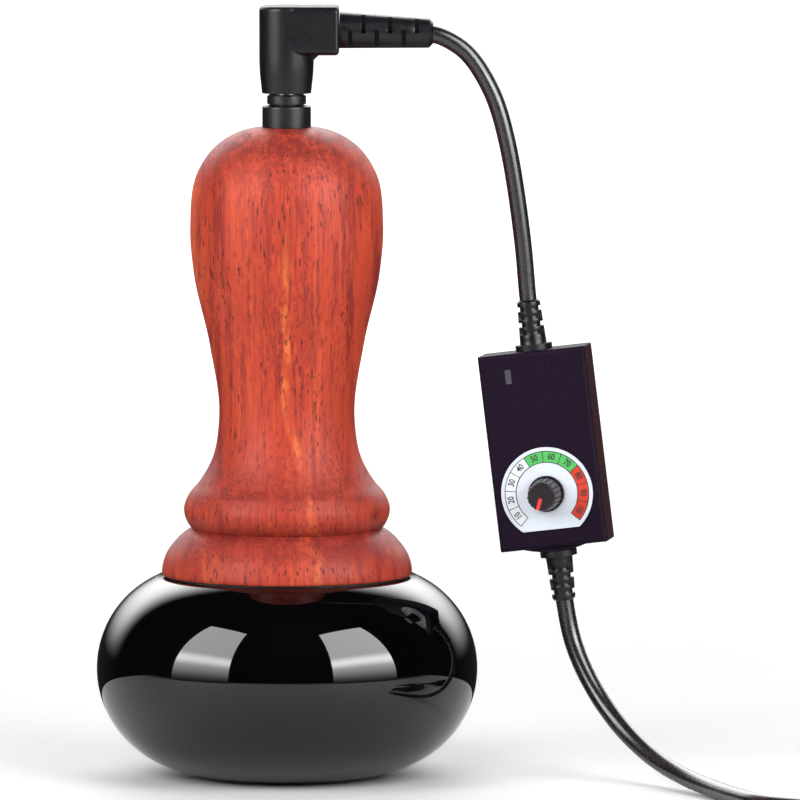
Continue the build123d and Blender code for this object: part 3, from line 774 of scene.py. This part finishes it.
class Ink(Enum):
    """The colours printed on the dial."""

    PALE = Moulded("ink_pale", (0.43, 0.445, 0.47), 0.35, 0.006, 600.0, 0.000002)
    GREEN = Moulded("ink_green", (0.043, 0.265, 0.058), 0.35, 0.02, 600.0, 0.000002)
    RED = Moulded("ink_red", (0.340, 0.019, 0.005), 0.35, 0.02, 600.0, 0.000002)
    BLACK = Moulded("ink_black", (0.010, 0.010, 0.012), 0.35, 0.04, 600.0, 0.000002)


MADE: dict[str, bpy.types.Material] = {}


def coat(obj: bpy.types.Object, finish: Finish | Ink) -> None:
    """Gives an object the material of a finish, which is made once.

    Args:
        obj: the object.
        finish: the finish or ink.
    """
    if finish.value.name not in MADE:
        MADE[finish.value.name] = finish.value.material()
    obj.data.materials.clear()
    obj.data.materials.append(MADE[finish.value.name])


def fit_piece(obj: bpy.types.Object, body: str, finish: Finish, ink: Ink | None = None) -> None:
    """Finishes a new piece and lets it ride on its body.

    Args:
        obj: the piece.
        body: the CAD body that it moves with.
        finish: its finish, which also names the record's slot.
        ink: a printed colour worn in place of the finish's own material.
    """
    coat(obj, ink or finish)
    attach(obj, body)
    finish.slot
    LOG.info("%s on %s", obj.name, body)


# ---------------------------------------------------------------- studio
@dataclass(frozen=True)
class SoftLamp:
    """A square soft light that no mirror surface shows, aimed at the handle."""

    name: str
    spot: Point
    size: float
    power: float
    target: Point = (0.0, 0.0, 0.09)

    def build(self) -> None:
        """Hangs the light."""
        turn = (Vector(self.target) - Vector(self.spot)).to_track_quat("-Z", "Y").to_euler()
        bpy.ops.object.light_add(type="AREA", location=self.spot, rotation=turn)
        lamp = bpy.context.object
        lamp.name = self.name
        lamp.data.shape = "SQUARE"
        lamp.data.size = self.size
        lamp.data.energy = self.power
        lamp.visible_camera = False
        lamp.visible_glossy = False


@dataclass(frozen=True)
class Studio:
    """The camera, a pale table, two tall soft boxes beside it and a bright backdrop."""

    aim: Point = (0.027, 0.0, 0.090)
    distance: float = 2.6
    elevation: float = 5.07
    view_width: float = 0.190931
    sensor: float = 36.0
    view_limit: float = 50.0
    left_edges: tuple[float, float] = (34.5, 72.0)
    right_edges: tuple[float, float] = (28.0, 69.0)
    box_away: float = 0.95
    box_high: float = 1.38
    box_power: tuple[float, float] = (9.2, 10.8)
    box_gap: float = 0.002
    box_back: Rgb = (0.02, 0.02, 0.02)
    table_tone: float = 0.40
    table_wide: float = 12.0
    table_front: float = -6.0
    table_split: float = 0.1
    table_back: float = 7.5
    far_glow: float = 0.8
    backdrop_behind: tuple[float, float] = (0.54, 0.80)
    backdrop_above: tuple[float, float] = (0.0, 0.5)
    backdrop_power: tuple[float, float] = (0.015, 5.2)
    room_power: float = 0.01
    glow_rise: float = 1.2
    lamps: tuple[SoftLamp, ...] = (SoftLamp("overhead", (0.0, 0.5, 1.7), 1.6, 22.0),
                                   SoftLamp("front_fill", (-0.5, -1.85, 1.05), 0.9, 31.0))

    def camera(self) -> None:
        """Places the camera."""
        tilt = math.radians(self.elevation)
        away = Vector((0, -math.cos(tilt), math.sin(tilt))) * self.distance
        bpy.ops.object.camera_add(location=Vector(self.aim) + away, rotation=(math.pi / 2 - tilt, 0, 0))
        camera = bpy.context.object
        camera.data.sensor_width = self.sensor
        camera.data.lens = self.sensor * self.distance / self.view_width
        camera.data.clip_end = self.view_limit
        bpy.context.scene.camera = camera

    def table(self) -> None:
        """A pale table under the object, and its far half, which mirror surfaces don't show."""
        near = self.sheet("table", self.table_front, self.table_split, 0.0)
        far = self.sheet("far_table", self.table_split, self.table_back, self.far_glow)
        far.visible_glossy = False

    def sheet(self, name: str, front: float, back: float, glow: float) -> bpy.types.Object:
        """One flat part of the table.

        Args:
            name: the new object's name.
            front: its edge nearer the camera, in metres.
            back: its other edge.
            glow: how much it glows at its far end, from nothing at its near end.

        Returns:
            The sheet.
        """
        bpy.ops.object.select_all(action="DESELECT")
        bpy.ops.mesh.primitive_plane_add(size=1.0, location=(0, (front + back) / 2, 0))
        sheet = named(name)
        sheet.scale = (self.table_wide, back - front, 1.0)
        bpy.ops.object.transform_apply(location=True, scale=True)
        graph = Graph(f"pale_{name}")
        tone = self.table_tone
        graph.join(graph.ramp(graph.noise(graph.spots(), 4.0), [(0.3, (tone, tone, tone)),
                                                                (0.7, (1.02 * tone,) * 3)]),
                   graph.shader.inputs["Base Color"])
        graph.constant(Roughness=0.7, Specular_IOR_Level=0.1)
        split = graph.parts("Object")
        graph.join(graph.fit(split.outputs["Y"], front, front + self.glow_rise, 0.0, glow),
                   graph.shader.inputs["Emission Strength"])
        graph.shader.inputs["Emission Color"].default_value = (1, 1, 1, 1)
        sheet.data.materials.append(graph.material)
        return sheet

    def soft_box(self, side: int) -> None:
        """One tall glowing panel that stands on the table, brightest across its middle.

        Args:
            side: -1 for the left panel, 1 for the right one.
        """
        edges = self.left_edges if side < 0 else self.right_edges
        near, far = (math.radians(edge) * side for edge in edges)
        middle = (near + far) / 2
        wide = 2 * self.box_away * math.tan(abs(far - near) / 2)
        bpy.ops.object.select_all(action="DESELECT")
        bpy.ops.mesh.primitive_plane_add(size=1.0)
        panel = named(f"soft_box_{'left' if side < 0 else 'right'}")
        panel.scale = (wide, self.box_high, 1.0)
        bpy.ops.object.transform_apply(scale=True)
        panel.location = (self.box_away * math.sin(middle), -self.box_away * math.cos(middle),
                          self.box_high / 2 + self.box_gap)
        panel.rotation_euler = (math.pi / 2, 0, middle + math.pi)
        panel.visible_camera = False
        graph = Graph("soft_box_glow")
        level = graph.parts("Object").outputs["Y"]
        rise = graph.fit(level, -0.5 * self.box_high, -0.24 * self.box_high, 0.02, 0.8)
        off_line = graph.sum("ABSOLUTE", graph.sum("ADD", level, 0.22 * self.box_high), 0.0)
        line = graph.fit(off_line, 0.0, 0.1 * self.box_high, 0.9, 0.0)
        glow = graph.sum("MULTIPLY", graph.sum("ADD", rise, line), self.box_power[side > 0])
        lamp = graph.add("ShaderNodeEmission")
        graph.join(glow, lamp.inputs["Strength"])
        front = graph.add("ShaderNodeNewGeometry")
        dark = graph.add("ShaderNodeBsdfDiffuse")
        dark.inputs["Color"].default_value = (*self.box_back, 1.0)
        blend = graph.add("ShaderNodeMixShader")
        graph.join(front.outputs["Backfacing"], blend.inputs["Fac"])
        graph.join(lamp.outputs["Emission"], blend.inputs[1])
        graph.join(dark.outputs["BSDF"], blend.inputs[2])
        graph.join(blend.outputs["Shader"], graph.tree.nodes["Material Output"].inputs["Surface"])
        panel.data.materials.append(graph.material)

    def world_fade(self, tree: bpy.types.NodeTree, span: tuple[float, float],
                   power: tuple[float, float]) -> bpy.types.Node:
        """A soft step for the world's brightness.

        Args:
            tree: the world's nodes.
            span: where the step begins and ends.
            power: what it gives before and after.

        Returns:
            The node.
        """
        node = tree.nodes.new("ShaderNodeMapRange")
        node.interpolation_type = "SMOOTHSTEP"
        for name, number in zip(("From Min", "From Max", "To Min", "To Max"), span + power):
            node.inputs[name].default_value = number
        return node

    def surroundings(self) -> None:
        """A white view, with a bright backdrop behind and a dark room in front."""
        world = bpy.data.worlds.new("studio_world")
        bpy.context.scene.world = world
        world.use_nodes = True
        tree = world.node_tree
        backdrop = tree.nodes["Background"]
        where = tree.nodes.new("ShaderNodeTexCoord")
        split = tree.nodes.new("ShaderNodeSeparateXYZ")
        fade = self.world_fade(tree, self.backdrop_behind, (0.0, 1.0))
        rise = self.world_fade(tree, self.backdrop_above, self.backdrop_power)
        both = tree.nodes.new("ShaderNodeMath")
        both.operation = "MULTIPLY_ADD"
        both.inputs[2].default_value = self.room_power
        tree.links.new(where.outputs["Generated"], split.inputs["Vector"])
        tree.links.new(split.outputs["Y"], fade.inputs["Value"])
        tree.links.new(split.outputs["Z"], rise.inputs["Value"])
        tree.links.new(fade.outputs["Result"], both.inputs[0])
        tree.links.new(rise.outputs["Result"], both.inputs[1])
        tree.links.new(both.outputs["Value"], backdrop.inputs["Strength"])
        white = tree.nodes.new("ShaderNodeBackground")
        white.inputs["Strength"].default_value = 1.0
        white.inputs["Color"].default_value = (1, 1, 1, 1)
        backdrop.inputs["Color"].default_value = (1, 1, 1, 1)
        seen = tree.nodes.new("ShaderNodeLightPath")
        blend = tree.nodes.new("ShaderNodeMixShader")
        tree.links.new(seen.outputs["Is Camera Ray"], blend.inputs["Fac"])
        tree.links.new(backdrop.outputs["Background"], blend.inputs[1])
        tree.links.new(white.outputs["Background"], blend.inputs[2])
        tree.links.new(blend.outputs["Shader"], tree.nodes["World Output"].inputs["Surface"])
        bpy.context.scene.view_settings.view_transform = "Standard"

    def build(self) -> None:
        """Makes the whole studio, camera first."""
        self.camera()
        self.table()
        self.soft_box(-1)
        self.soft_box(1)
        for lamp in self.lamps:
            lamp.build()
        self.surroundings()


# ---------------------------------------------------------------- stone head
@dataclass(frozen=True)
class StoneHead:
    """The polished stone. Sizes are in millimetres, as its outline is drawn."""

    side_low: tuple[float, float] = (24.6, 59.8)
    side_top: tuple[float, float] = (24.0, 57.8)
    belly: float = 33.3
    shoulder: float = 29.5
    pocket: tuple[tuple[float, float], ...] = ((19.0, 47.8), (19.0, 45.3), (17.5, 45.3), (17.5, 20.0),
                                               (0.0, 20.0))

    def outline(self) -> list[tuple[float, float]]:
        """The stone's closed outline.

        Returns:
            Its points, from the middle of its foot to the middle of its pocket, in metres.
        """
        low_box, high_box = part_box("stone_head")
        widest, seat = (high_box.x - low_box.x) / 2 / MM, high_box.z / MM
        low_r, low_deg = self.side_low
        top_r, top_deg = self.side_top
        low, top = math.radians(low_deg), math.radians(top_deg)
        middle = low_r * math.sin(low) + self.belly * (1 - math.sin(low))
        low_x, top_x = widest - low_r, widest - top_r
        foot = low_x + (low_r - self.belly) * math.cos(low)
        shoulder_at = (top_x + (top_r - self.shoulder) * math.cos(top),
                       middle + (top_r - self.shoulder) * math.sin(top))
        seat_deg = math.degrees(math.asin((seat - shoulder_at[1]) / self.shoulder))
        line = [(0.0, 0.0), (foot * 0.5, 0.0)]
        line += arc((foot, self.belly), self.belly, -90, -low_deg, 18)
        line += arc((low_x, middle), low_r, -low_deg, 0, 30)[1:]
        line += arc((top_x, middle), top_r, 0, top_deg, 30)[1:]
        line += arc(shoulder_at, self.shoulder, top_deg, seat_deg, 6)[1:]
        return scaled(line + list(self.pocket))

    def build(self) -> None:
        """Makes and dresses the stone."""
        stone = turned("polished_stone", self.outline(), steps=192)
        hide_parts("stone_head")
        fit_piece(stone, "massager", Finish.BLACK_STONE)


# ---------------------------------------------------------------- handle
@dataclass(frozen=True)
class Handle:
    """The turned handle. Sizes are in millimetres, as its outline is drawn."""

    foot: tuple[tuple[float, float], ...] = ((29.9, 48.7), (28.9, 53.1), (27.0, 55.9), (22.7, 59.4))
    grip: tuple[tuple[float, float], ...] = (
        (22.7, 59.4), (24.6, 64.0), (23.4, 67.5), (21.0, 70.4), (17.8, 76.1), (16.23, 85.0),
        (18.4, 103.4), (22.2, 120.6), (23.0, 132.0), (21.0, 145.0), (16.9, 150.7), (6.0, 155.2))
    bore: tuple[tuple[float, float], ...] = ((5.0, 155.2), (5.0, 137.0), (2.5, 137.0), (2.5, 48.3),
                                             (29.3, 48.3), (29.78, 48.42), (29.9, 48.7))

    def build(self) -> None:
        """Turns the wood and dresses it."""
        line = flowing(list(self.foot), (0, 1), (-1, 0.35))
        line += flowing(list(self.grip), (0.9, 1), (-1, 0), 10)[1:]
        wood = turned("turned_handle", scaled(line + list(self.bore)), steps=160, degrees=50)
        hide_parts("handle")
        fit_piece(wood, "massager", Finish.HANDLE_WOOD)


# ---------------------------------------------------------------- lead
@dataclass(frozen=True)
class Lead:
    """The lead: an upper cord to the control box, and a lower cord that ends in a coil and an inlet."""

    diameter: float = 0.0042
    coil_at: tuple[float, float] = (160.0, -55.0)
    coil_columns: tuple[float, ...] = (28.6, 24.4, 20.2, 16.0)
    coil_levels: tuple[float, ...] = (2.1, 6.3)
    per_turn: int = 24
    shift_zone: tuple[float, float] = (110.0, 170.0)
    level_swell: float = 1.7
    upper: tuple[Point, ...] = (
        (31.5, 0.0, 177.7), (34.9, 0.0, 177.6), (38.9, 0.0, 176.0), (43.2, 0.0, 173.0),
        (47.0, 0.0, 167.6), (50.4, 0.0, 160.4), (53.0, 0.0, 150.0), (54.8, 0.0, 139.4), (56.5, 0.1, 126.4),
        (57.33, 0.27, 116.0), (57.57, 0.25, 113.99), (57.9, 0.2, 111.0))
    lower: tuple[Point, ...] = (
        (65.9, -1.21, 45.2), (66.25, -1.28, 42.2), (67.9, -1.9, 33.0), (71.0, -4.1, 25.2),
        (75.4, -7.8, 17.8), (80.9, -13.4, 11.2), (87.4, -21.6, 6.1), (94.3, -32.0, 3.2), (100.4, -44.6, 2.15),
        (105.6, -58.6, 2.1), (110.8, -71.8, 2.1), (121.6, -80.6, 2.1), (134.8, -84.2, 2.1),
        (148.2, -84.2, 2.1))
    tail: tuple[Point, ...] = (
        (188.3, -45.4, 6.2), (185.2, -33.2, 5.6), (180.26, -20.84, 5.2), (176.5, -10.5, 5.2))

    def coil(self) -> list[Point]:
        """The coil's turns: inwards along the table, up one level, and outwards to the far side.

        Returns:
            The points of its middle line, in millimetres.
        """
        slots = [(r, self.coil_levels[0]) for r in self.coil_columns]
        slots += [(r, self.coil_levels[1]) for r in reversed(self.coil_columns)]
        last = 360 * (len(slots) - 1)
        points: list[Point] = []
        step = 360 / self.per_turn
        angle = -90.0
        low, high = self.shift_zone
        while angle <= last + 1e-6:
            turn = math.floor((angle - low) / 360)
            index = min(max(turn + 1, 0), len(slots) - 1)
            before = slots[max(index - 1, 0)] if turn >= 0 else slots[0]
            after = slots[index]
            share = min(1.0, max(0.0, ((angle - low) % 360) / (high - low))) if turn >= 0 else 0.0
            climbs = before[0] == after[0] and turn >= 0
            swell = math.sin(math.pi * share) * self.level_swell if climbs else 0.0
            radius = before[0] + (after[0] - before[0]) * share - swell
            height = before[1] + (after[1] - before[1]) * share
            here = math.radians(angle)
            points.append((self.coil_at[0] + radius * math.cos(here),
                           self.coil_at[1] + radius * math.sin(here), height))
            angle += step
        return points

    def cord(self, name: str, route: list[Point]) -> bpy.types.Object:
        """A round cord on one smooth spline.

        Args:
            name: the new object's name.
            route: the spline's control points, in millimetres.

        Returns:
            The curve object.
        """
        data = bpy.data.curves.new(name, "CURVE")
        data.dimensions = "3D"
        data.resolution_u = 6
        data.bevel_depth = self.diameter / 2
        data.bevel_resolution = 5
        data.use_fill_caps = True
        spline = data.splines.new("NURBS")
        spline.points.add(len(route) - 1)
        for point, (x, y, z) in zip(spline.points, route):
            point.co = (x * MM, y * MM, z * MM, 1.0)
        spline.order_u = 3
        spline.use_endpoint_u = True
        obj = bpy.data.objects.new(name, data)
        bpy.context.scene.collection.objects.link(obj)
        return obj

    def length(self, obj: bpy.types.Object) -> float:
        """Measures a cord along its middle line.

        Args:
            obj: the cord.

        Returns:
            Its length in metres.
        """
        bare = obj.copy()
        bare.data = obj.data.copy()
        bare.data.bevel_depth = 0.0
        bare.data.use_fill_caps = False
        bpy.context.scene.collection.objects.link(bare)
        shown = bare.evaluated_get(bpy.context.evaluated_depsgraph_get())
        spots = [v.co.copy() for v in bpy.data.meshes.new_from_object(shown).vertices]
        bpy.data.objects.remove(bare)
        return sum((b - a).length for a, b in zip(spots, spots[1:]))

    def build(self) -> None:
        upper = self.cord("upper_lead", list(self.upper))
        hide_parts("upper_cord")
        fit_piece(upper, "lead", Finish.CORD_JACKET)
        round(self.length(upper), 3)
        lower = self.cord("lower_lead", list(self.lower) + self.coil() + list(self.tail))
        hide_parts("lower_cord", "cord_coil", "tail_cord")
        fit_piece(lower, "lead", Finish.CORD_JACKET)
        round(self.length(lower), 3)
        LOG.info("cords measure %.3f and %.3f m", self.length(upper), self.length(lower))


# ---------------------------------------------------------------- control box
@dataclass(frozen=True)
class Dial:
    """The printed scale on the box's face, in millimetres about the knob's axis."""

    roll: float = 7.0
    face: float = 0.3
    band: tuple[float, float] = (7.45, 10.1)
    span: float = 270.0
    cells: int = 10
    line: float = 0.2
    film: float = 0.03
    text_size: float = 2.15
    text_bold: float = 0.035
    text_width: tuple[float, float] = (0.82, 0.66)
    step_degrees: float = 2.5
    sector_weld: float = 1e-7

    def place(self, frame: dict) -> Matrix:
        """The face's frame: X across the box, Y up it and Z out of it, from the dial's joint.


        Returns:
            The matrix from the face's frame, in metres, to the model's.
        """
        joint = next(j for j in frame["joints"] if j["name"] == "dial_turn")
        out = -Vector(joint["axis"]).normalized()
        flat = Vector((0, 0, 1)).cross(out).normalized()
        roll = math.radians(self.roll)
        across = flat * math.cos(roll) + Vector((0, 0, 1)) * math.sin(roll)
        up = out.cross(across)
        matrix = Matrix((across, up, out)).transposed().to_4x4()
        matrix.translation = Vector(joint["pos_m"])
        return matrix

    def sector(self, name: str, radii: tuple[float, float], degrees: tuple[float, float],
               levels: tuple[float, float], place: Matrix) -> bpy.types.Object:
        """A thin raised ring sector, closed all round.

        Args:
            name: the new object's name.
            radii: its inner and outer radius, in millimetres.
            degrees: its ends, clockwise from the top of the box.
            levels: its lower and upper height off the joint's plane, in millimetres.
            place: the face's frame.

        Returns:
            The object, in place.
        """
        start, end = (math.radians(90 - d) for d in degrees)
        corners = [(radii[0], levels[0]), (radii[1], levels[0]), (radii[1], levels[1]),
                   (radii[0], levels[1]), (radii[0], levels[0])]
        obj = drawn_outline(name, scaled(corners))
        bpy.ops.mesh.remove_doubles(threshold=self.sector_weld)
        bpy.ops.mesh.edge_face_add()
        steps = max(2, round(abs(degrees[1] - degrees[0]) / self.step_degrees))
        bpy.ops.mesh.spin(steps=steps, angle=start - end, center=(0, 0, 0), axis=(0, 0, 1))
        bpy.ops.mesh.select_all(action="SELECT")
        bpy.ops.mesh.remove_doubles(threshold=self.sector_weld)
        bpy.ops.mesh.normals_make_consistent(inside=False)
        bpy.ops.object.mode_set(mode="OBJECT")
        return settle(obj, place @ Matrix.Rotation(start, 4, "Z"))

    def joined(self, name: str, parts: list[bpy.types.Object]) -> bpy.types.Object:
        """Joins several objects into one.

        Args:
            name: the joined object's name.
            parts: the objects.

        Returns:
            The joined object.
        """
        pick(parts[0])
        for part in parts[1:]:
            part.select_set(True)
        bpy.ops.object.join()
        return named(name)

    def number(self, index: int, place: Matrix) -> bpy.types.Object:
        """One printed number, its top outwards.

        Args:
            index: its cell, counted from 0.
            place: the face's frame.

        Returns:
            The number as a thin raised mesh, in place.
        """
        bpy.ops.object.select_all(action="DESELECT")
        bpy.ops.object.text_add(location=(0, 0, 0))
        text = bpy.context.object
        text.data.body = str(10 * (index + 1))
        text.data.size = self.text_size * MM
        text.data.align_x, text.data.align_y = "CENTER", "CENTER"
        text.data.extrude = self.film * MM
        text.data.resolution_u = 3
        text.data.offset = self.text_bold * MM
        pick(text)
        bpy.ops.object.convert(target="MESH")
        turn = -math.radians(self.cell_start(index) + self.span / self.cells / 2)
        middle = sum(self.band) / 2 * MM
        level = (self.face + 2 * self.film) * MM
        spot = Matrix.Rotation(turn, 4, "Z") @ Matrix.Translation((0, middle, level))
        three_digits = index + 1 == self.cells
        squeeze = Matrix.Diagonal((self.text_width[three_digits], 1.0, 1.0, 1.0))
        return settle(bpy.context.object, place @ spot @ squeeze)

    def cell_start(self, index: int) -> float:
        """Where a cell begins, in degrees clockwise from the top of the box."""
        return -self.span / 2 + index * self.span / self.cells

    def build(self, frame: dict) -> None:
        """Prints the cells, their outlines and their numbers.
        """
        place = self.place(frame)
        inner, outer = self.band
        level = (self.face, self.face + self.film)
        groups = {Ink.PALE: range(0, 4), Ink.GREEN: range(4, 7), Ink.RED: range(7, 10)}
        for ink, cells in groups.items():
            ends = (self.cell_start(cells[0]), self.cell_start(cells[-1] + 1))
            band = self.sector(f"scale_{ink.name.lower()}", self.band, ends, level, place)
            fit_piece(band, "lead", Finish.SCALE_FILM, ink)
        top = (self.face, self.face + 2 * self.film)
        half = self.span / 2
        lines = [self.sector("line", (r - self.line / 2, r + self.line / 2), (-half, half), top, place)
                 for r in (inner, outer)]
        width = math.degrees(self.line / outer)
        for index in range(self.cells + 1):
            at = self.cell_start(index)
            lines.append(self.sector("line", self.band, (at - width / 2, at + width / 2), top, place))
        fit_piece(self.joined("scale_lines", lines), "lead", Finish.SCALE_FILM, Ink.BLACK)
        numbers = [self.number(index, place) for index in range(self.cells)]
        fit_piece(self.joined("scale_numbers", numbers), "lead", Finish.SCALE_FILM, Ink.BLACK)


# ---------------------------------------------------------------- carried-over CAD pieces
@dataclass(frozen=True)
class Carried:
    """CAD nodes whose shape is right: some are welded and rounded, and all are dressed."""

    rounded: dict[str, tuple[str, str, float, float]] = field(default_factory=lambda: {
        "socket_collar": ("massager", "socket_sleeve", 0.00015, 30.0),
        "plug_neck": ("plug_contacts", "plug_ring", 0.00012, 30.0),
        "plug_body": ("lead", "plug_moulding", 0.0002, 24.0),
        "plug_strain_relief": ("lead", "plug_boot", 0.0002, 30.0),
        "upper_gland": ("lead", "upper_bend_relief", 0.00012, 30.0),
        "lower_gland": ("lead", "lower_bend_relief", 0.00012, 30.0),
        "front_shell": ("lead", "box_front", 0.00008, 30.0),
        "rear_shell": ("lead", "box_back", 0.00008, 30.0),
        "gland_boss": ("lead", "box_boss", 0.0002, 30.0),
        "dial_plate": ("lead", "dial_disc", 0.00004, 30.0),
        "knob": ("dial", "dial_knob", 0.00008, 30.0),
        "coil_tie": ("lead", "coil_strap", 0.0001, 30.0),
        "connector_relief": ("lead", "inlet_boot", 0.0001, 30.0),
        "connector_body": ("lead", "inlet_barrel", 0.0001, 30.0),
    })

    def build(self, frame: dict) -> None:
        """Dresses every CAD node that still shows.
        """
        slots = {s["node"]: s["material_slot"] for s in frame["record"]["subparts"]}
        for node, (body, name, bevel, degrees) in self.rounded.items():
            copy = merged_copy(node, name, degrees, bevel)
            fit_piece(copy, body, Finish[slots[node].upper()])
        for node, obj in frame["nodes"].items():
            coat(obj, Finish[slots[node].upper()])


def main() -> None:
    """Loads the frame, then builds the studio, the cords and every sub-assembly in order."""
    logging.basicConfig(level=logging.INFO, format="%(name)s: %(message)s")
    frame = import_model()
    Studio().build()
    Lead().build()
    StoneHead().build()
    Handle().build()
    Dial().build(frame)
    Carried().build(frame)


if __name__ == "__main__":
    main()
